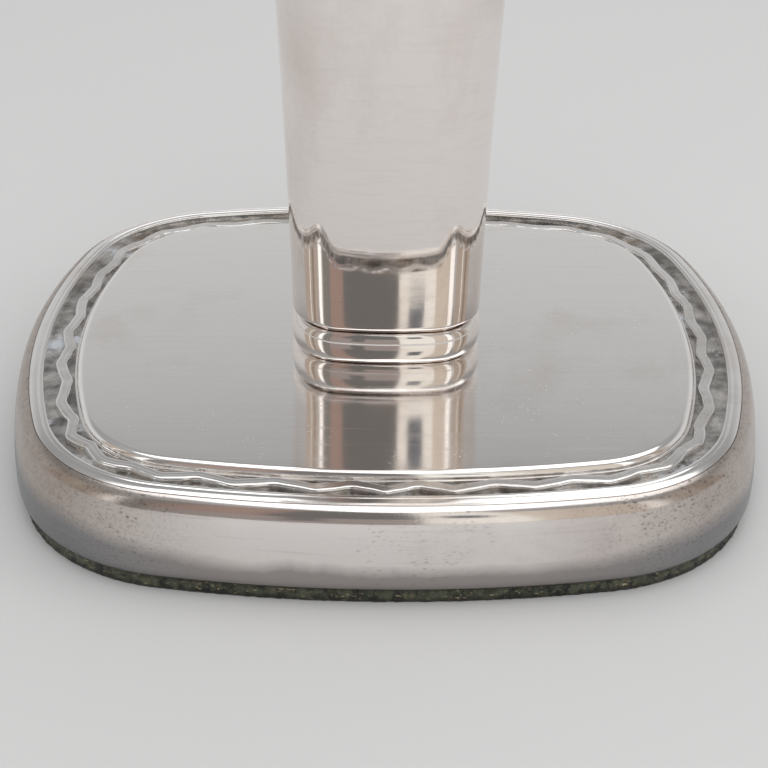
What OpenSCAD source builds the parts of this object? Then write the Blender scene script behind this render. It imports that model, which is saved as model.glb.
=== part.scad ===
// Weighted silver candlestick: a bowed rounded-rectangle base with a waved border,
// a stem that flares upwards, and a nozzle that lifts out of the stem.
// Millimetres. Origin: centre of the felt's underside. +Z up, X along the width,
// the front faces -Y.

/* [Base] */
// Width over the outer edge of the rim
rim_w = 110; // [100:1:120]
// Depth over the outer edge of the rim
rim_d = 96; // [88:1:106]
// Corner radius of the rim's outer edge
rim_corner_r = 24.5; // [20:0.5:28]
// Bow radius of the front and back edges
rim_front_r = 177; // [150:1:220]
// Bow radius of the left and right edges
rim_side_r = 99.5; // [90:0.5:130]
// Height of the polished plateau above the table
plateau_h = 15.3; // [14.9:0.1:16]
// Height of the seam between the rim and the side wall
rim_h = 14.75; // [14.5:0.05:14.8]
// How far the side wall bulges past the rim's outer edge
wall_bulge = 3; // [2.6:0.1:3.4]
// Thickness of the felt
felt_t = 1.7; // [1.2:0.1:2]
// Thickness of the silver sheet
sheet_t = 0.9; // [0.7:0.1:1]

/* [Border] */
// Width of the rim's flat top
rim_top_w = 2.2; // [1.8:0.1:2.5]
// Distance from the rim's outer edge to the middle of the ribbon
ribbon_in = 5.1; // [5:0.05:5.2]
// Width of the waved ribbon
ribbon_w = 1.8; // [1.4:0.1:2]
// Height of the waved ribbon above the channel floor
ribbon_h = 0.85; // [0.5:0.05:1]
// Number of waves around the base
waves = 32; // [24:2:36]
// How far each wave swings to either side
wave_amp = 0.45; // [0.2:0.05:0.5]
// Distance from the rim's outer edge to the plateau's edge
plateau_in = 7.1; // [7:0.1:7.6]

/* [Stem] */
// Width of the stem just above its lower lip
stem_w = 29.2; // [27:0.1:31]
// Depth of the stem just above its lower lip
stem_d = 22.8; // [21:0.1:25]
// Corner radius of the stem's section
stem_corner_r = 8; // [6.5:0.1:9]
// Bow radius of the stem's front and back faces
stem_front_r = 55; // [40:1:70]
// Bow radius of the stem's side faces
stem_side_r = 34; // [26:0.5:40]
// Height of the stem's lower edge above the table
stem_foot_h = 21; // [20.8:0.1:21.6]
// Height of the stem's mouth above the table
stem_top_h = 168; // [160:1:180]
// Growth of the half-width per millimetre at the stem's foot
flare = 0.02; // [0.01:0.005:0.03]
// Extra growth of the half-width per square millimetre
flare_curve = 0.00032; // [0.0002:0.00002:0.0004]
// How far the collar bulges
collar_bulge = 1.25; // [0.8:0.05:1.4]

/* [Nozzle] */
// Radius of the bore that takes the candle
candle_r = 11.25; // [10.5:0.05:11.5]
// Depth of the bore that takes the candle
candle_depth = 24; // [18:1:26]
// Width of the drip pan
pan_w = 62; // [58:1:66]
// Depth of the drip pan
pan_d = 54; // [50:1:58]
// Length of the spigot below the drip pan
spigot_len = 14; // [10:1:14]
// Gap between the spigot and its sleeve
spigot_gap = 0.25; // [0.2:0.05:0.4]

/* [Core] */
// Radius of the steel tie rod
rod_r = 3; // [2.5:0.5:3.5]
// Gap between the tie rod and each hole that it passes
rod_gap = 0.1; // [0.05:0.05:0.2]

/* [Hidden] */
$fn = 64;
eps = 0.01;

// A section is [width, depth, corner radius, front radius, side radius]
base = [rim_w, rim_d, rim_corner_r, rim_front_r, rim_side_r];
stem = [stem_w, stem_d, stem_corner_r, stem_front_r, stem_side_r];
pan_corner_r = 14;
pan_front_r = 96;
pan_side_r = 56;
pan = [pan_w, pan_d, pan_corner_r, pan_front_r, pan_side_r];
spigot_w = 29;
spigot_d = 23;
spigot_corner_r = 5.5;
spigot_bow_r = 60;
spigot = [spigot_w, spigot_d, spigot_corner_r, spigot_bow_r, spigot_bow_r];

// Steps on each front, corner and side arc
base_steps = [8, 10, 6];
stem_steps = [6, 6, 4];
ribbon_steps = [48, 16, 40];

channel_top = rim_h - 1.05;
channel_t = 0.8;
channel_bottom = channel_top - channel_t;
plateau_under = plateau_h - 1;
ledge_out = 0.3;
skirt_w = 1.6;
closing_top = felt_t + 0.8;
hem_in = 1.2;
felt_out = 0.1;
channel_in = 1.9;
rim_crown = 0.25;
plateau_edge_r = 1.05;

// Side wall from the seam down: a shoulder arc, a long arc to the widest point, a roll under.
// An arc's angles run from 0, outwards, to 90, upwards.
shoulder_r = 2.9;
seam_angle = 70;
wall_wide_h = 4;
roll_r = 2.6;
shoulder_centre = [0, rim_h] - shoulder_r * [cos(seam_angle), sin(seam_angle)];
from_wide = shoulder_centre - [wall_bulge, wall_wide_h];
wall_arc_r = (shoulder_r * shoulder_r - from_wide * from_wide) / (2 * (from_wide.x + shoulder_r));
wall_centre = [wall_bulge - wall_arc_r, wall_wide_h];
wall_join = atan2(from_wide.y, shoulder_centre.x - wall_centre.x);
roll_centre = [wall_bulge - roll_r, wall_wide_h];
roll_start = asin((felt_t - wall_wide_h) / roll_r);
wall_bottom_out = roll_centre.x + roll_r * cos(roll_start);

collar_top = stem_foot_h - 0.4;
collar_core = 4.5;
collar_waist = 0.88;
collar_shelf = 0.4;
lip_r = 1.1;
lip_in = lip_r + sheet_t;
pocket_r = 8.6;
pocket_top = 7;
nut_af = 10;
nut_t = 2.5;
washer_r = 8;
washer_t = 1.5;
foot_plate_t = 1;
plate_gap = 0.1;
filling_gap = 0.1;
stem_filling_top = 143;
rod_bottom = 3;
rod_top = stem_filling_top + washer_t + nut_t + 1;
mouth_plate_t = 1;
mouth_rim_h = 1.6;
mouth_top = stem_top_h + mouth_rim_h;
rest_gap = 0.1;
pan_bottom = mouth_top + rest_gap;
pan_floor = pan_bottom + sheet_t;
pan_edge_h = pan_bottom + 3;
sleeve_wall = 0.8;
cup_floor_t = 1;
cup_top = pan_floor + cup_floor_t + candle_depth;
cup_r = candle_r + sheet_t;
cup_foot_w = 2.2;
cup_foot_fillet = 1.8;
cup_rim_r = 0.9;
pan_rim_r = 0.75;
pan_rim_up = 0.65;
pan_flat_in = 8.5;
sleeve_extra = 3;

// Centre of a section's corner arc: it touches both the front arc and the side arc
function corner_centre(s) =
    let (front_c = [0, s[1] / 2 - s[3]], side_c = [s[0] / 2 - s[4], 0])
    let (front_gap = s[3] - s[2], side_gap = s[4] - s[2])
    let (v = side_c - front_c, d = norm(v))
    let (along = (front_gap * front_gap - side_gap * side_gap + d * d) / (2 * d))
    let (across = sqrt(front_gap * front_gap - along * along))
    front_c + v * along / d + [v.y, -v.x] * across / d;

// The eight arcs of a section, as [centre, radius, first angle, last angle],
// counter-clockwise from the start of the front arc
function arcs(s) =
    let (c = corner_centre(s), f = [0, s[1] / 2 - s[3]], e = [s[0] / 2 - s[4], 0])
    let (tf = atan2(c.y - f.y, c.x), te = atan2(c.y, c.x - e.x))
    [
        [-f, s[3], 180 + tf, 360 - tf],
        [[c.x, -c.y], s[2], 360 - tf, 360 - te],
        [e, s[4], 360 - te, 360 + te],
        [c, s[2], 360 + te, 360 + tf],
        [f, s[3], 360 + tf, 540 - tf],
        [[-c.x, c.y], s[2], 540 - tf, 540 - te],
        [-e, s[4], 540 - te, 540 + te],
        [-c, s[2], 540 + te, 540 + tf]
    ];

function arc_steps(i, steps) = i % 2 == 1 ? steps[1] : (i % 4 == 0 ? steps[0] : steps[2]);
function arc_length(a, off) = (a[1] + off) * (a[3] - a[2]) * PI / 180;
function length_before(all, i, off) =
    i == 0 ? 0 : arc_length(all[i - 1], off) + length_before(all, i - 1, off);

// Closed outline of a section, moved outwards by off
function outline(s, off, steps) = [
    for (i = [0:7]) let (a = arcs(s)[i], n = arc_steps(i, steps))
    for (k = [0:n - 1]) let (t = a[2] + (a[3] - a[2]) * k / n)
    a[0] + (a[1] + off) * [cos(t), sin(t)]
];

// The same outline, with a wave that swings outwards at the middle of the front
function waved_outline(s, off, steps) =
    let (all = arcs(s), total = length_before(all, 8, off), start = arc_length(all[0], off) / 2)
    [
        for (i = [0:7]) let (a = all[i], n = arc_steps(i, steps), before = length_before(all, i, off))
        for (k = [0:n - 1])
        let (t = a[2] + (a[3] - a[2]) * k / n)
        let (here = (before + arc_length(a, off) * k / n - start) / total)
        a[0] + (a[1] + off + wave_amp * cos(360 * waves * here)) * [cos(t), sin(t)]
    ];

function lift(points, z) = [for (p = points) [p.x, p.y, z]];

// Stem section at height z: the whole section grows with the half-width
function stem_at(z) =
    let (up = z - stem_foot_h, grown = stem_w / 2 + flare * up + flare_curve * up * up)
    stem * (2 * grown / stem_w);

function arc_profile(centre, r, a0, a1, n) = [
    for (k = [0:n]) let (t = a0 + (a1 - a0) * k / n) centre + r * [cos(t), sin(t)]
];

// Skin of the side wall, inset from its outer face, as [offset, height] from the bottom to the seam
function wall_profile(inset) = concat(
    arc_profile(roll_centre, roll_r - inset, roll_start, 0, 4),
    arc_profile(wall_centre, wall_arc_r - inset, wall_join / 6, wall_join, 5),
    arc_profile(
        shoulder_centre, shoulder_r - inset, wall_join + 14,
        acos(-shoulder_centre.x / (shoulder_r - inset)), 3
    )
);

function backwards(list) = [for (i = [len(list) - 1:-1:0]) list[i]];

// Solid through a list of rings with the same number of points each.
// looped joins the last ring to the first; otherwise both ends are capped.
module loft(rings, looped) {
    m = len(rings);
    n = len(rings[0]);
    sides = [
        for (i = [0:looped ? m - 1 : m - 2], k = [0:n - 1], half = [0, 1])
        let (a = i * n + k, b = i * n + (k + 1) % n)
        let (c = ((i + 1) % m) * n + (k + 1) % n, d = ((i + 1) % m) * n + k)
        half == 0 ? [a, c, b] : [a, d, c]
    ];
    caps = looped ? [] : [[for (k = [0:n - 1]) k], [for (k = [n - 1:-1:0]) (m - 1) * n + k]];
    polyhedron(points = [for (r = rings) each r], faces = concat(sides, caps), convexity = 8);
}

// Ring swept around a section from a list of [offset, height] points
module swept(s, steps, profile, looped = true) {
    loft([for (p = profile) lift(outline(s, p.x, steps), p.y)], looped);
}

module plate(s, off, steps, z0, z1) {
    translate([0, 0, z0]) linear_extrude(z1 - z0) polygon(outline(s, off, steps));
}

module rod_hole(z0, z1) {
    translate([0, 0, z0 - 1]) cylinder(r = rod_r + rod_gap, h = z1 - z0 + 2);
}

module felt_pad() {
    color("#2c3a30") plate(base, wall_bottom_out + felt_out, base_steps, 0, felt_t);
}

module closing_plate() {
    color("#8a8a86") plate(base, wall_bottom_out - hem_in - 0.1, base_steps, felt_t, closing_top);
}

// Side wall with its hem turned in under the closing plate's edge
module base_wall() {
    outer = wall_profile(0);
    inner = [for (p = wall_profile(sheet_t)) if (p.y > closing_top + 0.2) p];
    hem = [
        [inner[0].x, closing_top],
        [wall_bottom_out - hem_in, closing_top],
        [wall_bottom_out - hem_in, felt_t]
    ];
    color("#c4c0bb") swept(base, base_steps, concat(outer, backwards(inner), hem));
}

module base_rim() {
    inner = -rim_top_w;
    top = rim_h + rim_crown;
    color("#cfccc8") swept(base, base_steps, [
        [0, channel_top], [0, rim_h], [inner * 0.25, rim_h + rim_crown * 0.6], [inner * 0.55, top],
        [inner + 0.3, top], [inner, top - 0.3], [inner, channel_top]
    ]);
}

module border_channel() {
    color("#8f8c88") swept(base, base_steps, [
        [0, channel_bottom], [0, channel_top],
        [-plateau_in - channel_in, channel_top], [-plateau_in - channel_in, channel_bottom]
    ]);
}

module wave_ribbon() {
    edges = [
        [ribbon_w / 2, channel_top],
        [ribbon_w / 2, channel_top + ribbon_h * 0.6],
        [ribbon_w / 2 - 0.3, channel_top + ribbon_h],
        [-ribbon_w / 2 + 0.25, channel_top + ribbon_h],
        [-ribbon_w / 2, channel_top + ribbon_h * 0.7],
        [-ribbon_w / 2, channel_top]
    ];
    color("#d4d1cd")
        loft([for (e = edges) lift(waved_outline(base, e.x - ribbon_in, ribbon_steps), e.y)], true);
}

// Plateau with a rounded edge, a small ledge and a skirt that stands on the channel
module plateau_plate() {
    edge = -plateau_in;
    color("#b5b2ae") difference() {
        swept(base, base_steps, concat(
            [
                [edge + ledge_out - skirt_w, plateau_under], [edge + ledge_out - skirt_w, channel_top],
                [edge + ledge_out, channel_top], [edge + ledge_out, plateau_h - plateau_edge_r - 0.1],
                [edge + 0.1, plateau_h - plateau_edge_r]
            ],
            arc_profile([edge - plateau_edge_r, plateau_h - plateau_edge_r], plateau_edge_r, 10, 90, 4)
        ), false);
        rod_hole(plateau_under, plateau_h);
    }
}

// Pitch that fills and weights the base, with a pocket for the lower nut
module base_filling() {
    skin = [
        for (p = wall_profile(sheet_t + filling_gap))
        if (p.y > closing_top && p.y < channel_bottom) p
    ];
    color("#3a2c22") difference() {
        swept(base, base_steps, concat(
            [[skin[0].x, closing_top]], skin,
            [
                [0, channel_bottom], [-plateau_in - channel_in - 0.1, channel_bottom],
                [-plateau_in - channel_in - 0.1, plateau_under]
            ]
        ), false);
        rod_hole(closing_top, plateau_under);
        translate([0, 0, closing_top - 1]) cylinder(r = pocket_r, h = pocket_top - closing_top + 1);
    }
}

module tie_rod() {
    color("#6e6e70") translate([0, 0, rod_bottom]) cylinder(r = rod_r, h = rod_top - rod_bottom);
}

module hex_nut(z) {
    translate([0, 0, z]) difference() {
        cylinder(r = nut_af / 2 / cos(30), h = nut_t, $fn = 6);
        translate([0, 0, -1]) cylinder(r = rod_r + rod_gap, h = nut_t + 2);
    }
}

module washer(z, r) {
    translate([0, 0, z]) difference() {
        cylinder(r = r, h = washer_t);
        translate([0, 0, -1]) cylinder(r = rod_r + rod_gap, h = washer_t + 2);
    }
}

module base_nut() { color("#77777a") hex_nut(pocket_top - washer_t - nut_t); }
module base_washer() { color("#858589") washer(pocket_top - washer_t, washer_r); }
module top_washer() { color("#858589") washer(stem_filling_top, washer_r); }
module top_nut() { color("#77777a") hex_nut(stem_filling_top + washer_t); }

// Bulging ring between the plateau and the stem, with a core that carries the stem
module collar_ring() {
    half = (collar_top - plateau_h) / 2;
    bulge = [
        for (k = [0:8]) let (t = -90 + 180 * k / 8)
        [collar_bulge * (cos(t) - collar_waist), plateau_h + half + half * sin(t)]
    ];
    color("#cbc8c3") swept(stem, stem_steps, concat(bulge, [
        [-collar_bulge - collar_shelf, collar_top], [-collar_bulge - collar_shelf, stem_foot_h],
        [-collar_core, stem_foot_h], [-collar_core, plateau_h]
    ]));
}

module stem_foot_plate() {
    color("#9b9995") difference() {
        plate(stem, -lip_in - plate_gap, stem_steps, stem_foot_h, stem_foot_h + foot_plate_t);
        rod_hole(stem_foot_h, stem_foot_h + foot_plate_t);
    }
}

// Stem: rounded-in lower lip, then a flare that grows faster towards the mouth
module stem_shell() {
    lip = arc_profile([-lip_r, stem_foot_h + lip_r], lip_r, -90, 0, 3);
    bottom = [[-lip_in, stem_foot_h + sheet_t], [-lip_in, stem_foot_h]];
    lip_top = stem_foot_h + lip_r;
    outer = [for (k = [1:10]) [0, lip_top + (stem_top_h - lip_top) * k / 10]];
    inner = [for (k = [5:-1:0]) [-sheet_t, lip_top + 0.2 + (stem_top_h - lip_top - 0.2) * k / 5]];
    color("#c9c4bf") loft([
        for (p = concat(bottom, lip, outer, inner)) lift(outline(stem_at(p.y), p.x, stem_steps), p.y)
    ], true);
}

module stem_filling() {
    z0 = stem_foot_h + foot_plate_t;
    color("#3a2c22") difference() {
        loft([
            for (k = [0:4]) let (z = z0 + (stem_filling_top - z0) * k / 4)
            lift(outline(stem_at(z), -lip_r - filling_gap, stem_steps), z)
        ], false);
        rod_hole(z0, stem_filling_top);
    }
}

// Sleeve inside the mouth that guides the spigot
module socket_sleeve() {
    z0 = stem_top_h - spigot_len - sleeve_extra;
    color("#a8a5a1") swept(spigot, stem_steps, [
        [spigot_gap + sleeve_wall, z0], [spigot_gap + sleeve_wall, stem_top_h],
        [spigot_gap, stem_top_h], [spigot_gap, z0]
    ]);
}

// Plate that closes the mouth around the sleeve
module mouth_plate() {
    z0 = stem_top_h - mouth_plate_t;
    color("#b0ada9") difference() {
        plate(stem_at(z0), -sheet_t - plate_gap, stem_steps, z0, stem_top_h);
        plate(spigot, spigot_gap + sleeve_wall + eps, stem_steps, z0 - 1, stem_top_h + 1);
    }
}

module mouth_rim() {
    color("#cfccc8") swept(stem_at(stem_top_h), stem_steps, concat(
        [[-sheet_t, stem_top_h]],
        [
            for (k = [0:6]) let (t = -90 + 30 * k)
            [0.4 + 0.8 * cos(t), stem_top_h + mouth_rim_h / 2 * (1 + sin(t))]
        ],
        [[-sheet_t, mouth_top]]
    ));
}

module nozzle_spigot() {
    color("#bdbab6") swept(spigot, stem_steps, [
        [-1, stem_top_h - spigot_len], [0, stem_top_h - spigot_len + 1], [0, pan_bottom],
        [-1, pan_bottom]
    ]);
}

// Shallow dish with an upturned edge
module drip_pan() {
    color("#c9c5c0") swept(pan, stem_steps * 2, [
        [-pan_flat_in, pan_bottom], [-5.5, pan_bottom + 0.15], [-3, pan_bottom + 0.75],
        [-1.2, pan_bottom + 1.7], [0, pan_edge_h], [-sheet_t, pan_edge_h],
        [-1.9, pan_bottom + 2.3], [-3.5, pan_bottom + 1.5], [-5.8, pan_floor + 0.12],
        [-pan_flat_in, pan_floor]
    ], false);
}

module pan_rim() {
    color("#d2cfcb") swept(pan, stem_steps * 2, [
        for (k = [0:6]) let (t = -60 + 40 * k)
        [-sheet_t / 2, pan_edge_h + pan_rim_up] + pan_rim_r * [cos(t), sin(t)]
    ]);
}

module cup_foot() {
    color("#cbc8c3") rotate_extrude() translate([cup_r, pan_floor]) difference() {
        square(cup_foot_w);
        translate([cup_foot_w, cup_foot_w]) circle(r = cup_foot_fillet);
    }
}

module candle_cup() {
    color("#c6c2bd") translate([0, 0, pan_floor]) difference() {
        cylinder(r = cup_r, h = cup_top - pan_floor);
        translate([0, 0, cup_floor_t]) cylinder(r = candle_r, h = candle_depth + 1);
    }
}

// Rolled edge around the mouth of the cup
module cup_rim() {
    color("#d2cfcb") rotate_extrude() difference() {
        translate([cup_r, cup_top - cup_rim_r]) circle(r = cup_rim_r);
        translate([0, cup_top - cup_foot_w]) square([cup_r, 2 * cup_foot_w]);
    }
}

felt_pad();
closing_plate();
base_wall();
base_rim();
border_channel();
wave_ribbon();
plateau_plate();
base_filling();
tie_rod();
base_nut();
base_washer();
collar_ring();
stem_foot_plate();
stem_shell();
stem_filling();
top_washer();
top_nut();
socket_sleeve();
mouth_plate();
mouth_rim();
nozzle_spigot();
drip_pan();
pan_rim();
cup_foot();
candle_cup();
cup_rim();
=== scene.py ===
"""Weighted silver candlestick: bowed base with a waved border, flared stem and lift-out nozzle."""

import math
import random
from collections import namedtuple

import bpy
from mathutils import Matrix, Quaternion, Vector


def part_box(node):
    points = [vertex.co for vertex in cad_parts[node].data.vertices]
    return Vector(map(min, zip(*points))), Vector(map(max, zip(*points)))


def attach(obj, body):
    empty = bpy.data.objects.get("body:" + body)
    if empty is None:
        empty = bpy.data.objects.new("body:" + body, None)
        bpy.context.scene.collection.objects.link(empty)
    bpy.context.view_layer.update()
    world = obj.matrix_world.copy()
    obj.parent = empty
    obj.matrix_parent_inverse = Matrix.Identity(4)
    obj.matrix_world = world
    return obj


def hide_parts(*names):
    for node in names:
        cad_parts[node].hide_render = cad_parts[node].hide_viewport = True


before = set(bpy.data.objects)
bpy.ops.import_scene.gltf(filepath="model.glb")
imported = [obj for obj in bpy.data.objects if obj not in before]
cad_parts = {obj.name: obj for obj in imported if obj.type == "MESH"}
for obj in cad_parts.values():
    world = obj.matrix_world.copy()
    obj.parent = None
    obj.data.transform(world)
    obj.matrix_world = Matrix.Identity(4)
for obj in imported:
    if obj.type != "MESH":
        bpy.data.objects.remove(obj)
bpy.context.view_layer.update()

MM = 0.001
WELD = 2e-6
SMOOTH_UP_TO = math.radians(38)

# ---------------------------------------------------------------- camera

CAMERA_AZIMUTH = math.radians(-0.45)
CAMERA_ELEVATION = math.radians(30.54)
CAMERA_ROLL = math.radians(0.709)
CAMERA_DISTANCE = 0.2868
CAMERA_TARGET = Vector((-0.15, 2.41, 4.09)) * MM
CAMERA_LENS = 82.65
SENSOR_WIDTH = 36.0


def make_camera():
    data = bpy.data.cameras.new("camera")
    data.lens = CAMERA_LENS
    data.sensor_width = SENSOR_WIDTH
    data.clip_start = 0.005
    data.clip_end = 20.0
    camera = bpy.data.objects.new("camera", data)
    bpy.context.scene.collection.objects.link(camera)
    flat = math.cos(CAMERA_ELEVATION)
    back = Vector((
        math.sin(CAMERA_AZIMUTH) * flat,
        -math.cos(CAMERA_AZIMUTH) * flat,
        math.sin(CAMERA_ELEVATION),
    ))
    camera.location = CAMERA_TARGET + back * CAMERA_DISTANCE
    camera.rotation_mode = "QUATERNION"
    camera.rotation_quaternion = Quaternion(back, CAMERA_ROLL) @ (-back).to_track_quat("-Z", "Y")
    bpy.context.scene.camera = camera


make_camera()
bpy.context.scene.view_settings.view_transform = "Standard"

# ---------------------------------------------------------------- sizes

# a rounded rectangle with bowed sides: half width, half depth and the three arc radii
Section = namedtuple("Section", "half_w half_d corner_r front_r side_r")


def half_sizes(node):
    low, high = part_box(node)
    return (high.x - low.x) / 2, (high.y - low.y) / 2


def grown(section, off):
    """The same section with its outline moved outwards by off."""
    return Section(*(value + off for value in section))


FELT_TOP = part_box("felt_pad")[1].z
SEAM_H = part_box("base_wall")[1].z
CHANNEL_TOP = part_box("border_channel")[1].z
CHANNEL_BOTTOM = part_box("border_channel")[0].z
PLATEAU_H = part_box("plateau_plate")[1].z
COLLAR_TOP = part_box("collar_ring")[1].z
STEM_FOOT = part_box("stem_shell")[0].z
STEM_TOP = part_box("stem_shell")[1].z
RIM_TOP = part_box("base_rim")[1].z
PAN_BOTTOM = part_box("drip_pan")[0].z
PAN_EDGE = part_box("drip_pan")[1].z
CUP_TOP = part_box("candle_cup")[1].z
CUP_R = half_sizes("candle_cup")[0]

SHEET = 0.9 * MM
BASE = Section(*half_sizes("base_rim"), 24.5 * MM, 177 * MM, 99.5 * MM)
STEM = Section(14.6 * MM, 11.4 * MM, 8 * MM, 55 * MM, 34 * MM)
SPIGOT = Section(*half_sizes("nozzle_spigot"), 5.5 * MM, 60 * MM, 60 * MM)
PAN = Section(*half_sizes("drip_pan"), 14 * MM, 96 * MM, 56 * MM)

# spin steps along the front, corner and side arc of a quarter
BASE_STEPS = (30, 30, 20)
CHANNEL_STEPS = (90, 70, 60)
RIBBON_STEPS = (90, 60, 66)
FELT_STEPS = (110, 90, 70)
STEM_STEPS = (22, 20, 16)
# spin steps of a full turn
ROUND_STEPS = 128

# ---------------------------------------------------------------- modelling helpers


def deselect():
    if bpy.context.object and bpy.context.object.mode != "OBJECT":
        bpy.ops.object.mode_set(mode="OBJECT")
    bpy.ops.object.select_all(action="DESELECT")


def pick(piece):
    """Makes the piece the only selected object and the active one."""
    deselect()
    piece.select_set(True)
    bpy.context.view_layer.objects.active = piece


def start_vertex(name, point):
    """A new object in edit mode that holds one vertex, the start of a profile."""
    deselect()
    bpy.ops.mesh.primitive_plane_add(size=MM, location=(0, 0, 0))
    piece = bpy.context.object
    piece.name = name
    bpy.ops.object.mode_set(mode="EDIT")
    bpy.ops.mesh.merge(type="CENTER")
    bpy.ops.transform.translate(value=point)
    return piece


def draw_profile(name, points):
    """An edge chain through the points, extruded vertex by vertex."""
    piece = start_vertex(name, points[0])
    for here, there in zip(points, points[1:]):
        step = Vector(there) - Vector(here)
        bpy.ops.mesh.extrude_region_move(TRANSFORM_OT_translate={"value": step})
    bpy.ops.mesh.select_all(action="SELECT")
    return piece


def arc_plan(section):
    """(centre, angle) of the front, corner and side arcs that make the front right quarter."""
    front = Vector((0, section.front_r - section.half_d))
    side = Vector((section.half_w - section.side_r, 0))
    front_gap = section.front_r - section.corner_r
    side_gap = section.side_r - section.corner_r
    across = side - front
    span = across.length
    along = (front_gap**2 - side_gap**2 + span**2) / (2 * span)
    away = math.sqrt(front_gap**2 - along**2)
    corner = front + across * along / span + Vector((-across.y, across.x)) * away / span
    front_angle = math.atan2(corner.x - front.x, front.y - corner.y)
    side_angle = math.atan2(side.y - corner.y, corner.x - side.x)
    corner_angle = math.pi / 2 - front_angle - side_angle
    return (front, front_angle), (corner, corner_angle), (side, side_angle)


def spin_quarter(section, steps):
    """Spins what is selected from the middle of the front to the middle of the right side.

    The operator turns clockwise for a positive angle, so the angles are negative here.
    """
    for (centre, angle), count in zip(arc_plan(section), steps):
        bpy.ops.mesh.spin(steps=count, angle=-angle, center=(centre.x, centre.y, 0), axis=(0, 0, 1))


def apply_modifiers(piece):
    pick(piece)
    for modifier in list(piece.modifiers):
        bpy.ops.object.modifier_apply(modifier=modifier.name)


def weld(piece):
    """Merges points that touch and turns all faces outwards."""
    pick(piece)
    bpy.ops.object.mode_set(mode="EDIT")
    bpy.ops.mesh.select_all(action="SELECT")
    bpy.ops.mesh.remove_doubles(threshold=WELD)
    bpy.ops.mesh.normals_make_consistent(inside=False)
    bpy.ops.object.mode_set(mode="OBJECT")


def mirror_quarters(piece):
    bpy.ops.object.mode_set(mode="OBJECT")
    mirror = piece.modifiers.new("quarters", "MIRROR")
    mirror.use_axis = (True, True, False)
    mirror.merge_threshold = WELD
    apply_modifiers(piece)
    weld(piece)


def front_points(section, profile):
    """Profile of (offset, height) pairs as points at the middle of the front."""
    return [(0, -(section.half_d + off), height) for off, height in profile]


def swept(name, section, steps, profile, closed=True):
    """A ring of the section's outline. Its profile is a list of (offset, height) pairs."""
    if closed:
        profile = profile + profile[:1]
    piece = draw_profile(name, front_points(section, profile))
    spin_quarter(section, steps)
    mirror_quarters(piece)
    return piece


def turned(name, profile, closed=True):
    """A round piece. Its profile is a list of (radius, height) pairs."""
    if closed:
        profile = profile + profile[:1]
    piece = draw_profile(name, [(0, -radius, height) for radius, height in profile])
    bpy.ops.mesh.spin(steps=ROUND_STEPS, angle=math.tau, center=(0, 0, 0), axis=(0, 0, 1))
    weld(piece)
    return piece


def select_open_ring(piece, height):
    """Selects the open edge ring that lies at a height."""
    bpy.ops.object.mode_set(mode="EDIT")
    bpy.ops.mesh.select_mode(type="VERT")
    bpy.ops.mesh.select_all(action="DESELECT")
    bpy.ops.mesh.select_non_manifold(
        extend=False, use_wire=False, use_boundary=True, use_multi_face=False,
        use_non_contiguous=False, use_verts=False,
    )
    bpy.ops.object.mode_set(mode="OBJECT")
    for vertex in piece.data.vertices:
        vertex.select = vertex.select and abs(vertex.co.z - height) < WELD
    for edge in piece.data.edges:
        ends = [piece.data.vertices[i] for i in edge.vertices]
        edge.select = edge.select and all(v.select for v in ends)
    bpy.ops.object.mode_set(mode="EDIT")


def cap(piece, height, rings=(0.85, 0.65, 0.4, 0.15)):
    """Closes an open ring with shrinking rings and one middle point."""
    select_open_ring(piece, height)
    before = 1.0
    for ring in rings:
        bpy.ops.mesh.extrude_region_move(TRANSFORM_OT_translate={"value": (0, 0, 0)})
        bpy.ops.transform.resize(value=(ring / before, ring / before, 1), center_override=(0, 0, height))
        before = ring
    bpy.ops.mesh.extrude_region_move(TRANSFORM_OT_translate={"value": (0, 0, 0)})
    bpy.ops.mesh.merge(type="CENTER")
    bpy.ops.object.mode_set(mode="OBJECT")
    weld(piece)


def arc(centre_off, centre_h, r, first, last, count):
    """(offset, height) points along an arc, angles in degrees, 0 outwards and 90 up."""
    angles = [math.radians(first + (last - first) * k / count) for k in range(count + 1)]
    return [(centre_off + r * math.cos(t), centre_h + r * math.sin(t)) for t in angles]


def dents(piece, size, strength, group=None, depth=2):
    """Uneven hand-worked surface: a displacement by soft noise."""
    texture = bpy.data.textures.new(piece.name + "_dents", "CLOUDS")
    texture.noise_scale = size
    texture.noise_depth = depth
    texture.noise_basis = "IMPROVED_PERLIN"
    shift = piece.modifiers.new("dents", "DISPLACE")
    shift.texture = texture
    shift.strength = strength
    shift.mid_level = 0.5
    shift.texture_coords = "LOCAL"
    if group:
        shift.vertex_group = group
    apply_modifiers(piece)


def group_where(piece, name, test):
    group = piece.vertex_groups.new(name=name)
    group.add([v.index for v in piece.data.vertices if test(v.co)], 1.0, "REPLACE")


def place(piece, body, slot, material, *nodes):
    """Gives a finished piece its material and body, and hides the CAD nodes that it stands for. The slot
    is not used.
    """
    pick(piece)
    bpy.ops.object.shade_smooth_by_angle(angle=SMOOTH_UP_TO)
    piece.data.materials.clear()
    piece.data.materials.append(material)
    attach(piece, body)
    if nodes:
        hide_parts(*nodes)


# ---------------------------------------------------------------- material helpers


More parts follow.
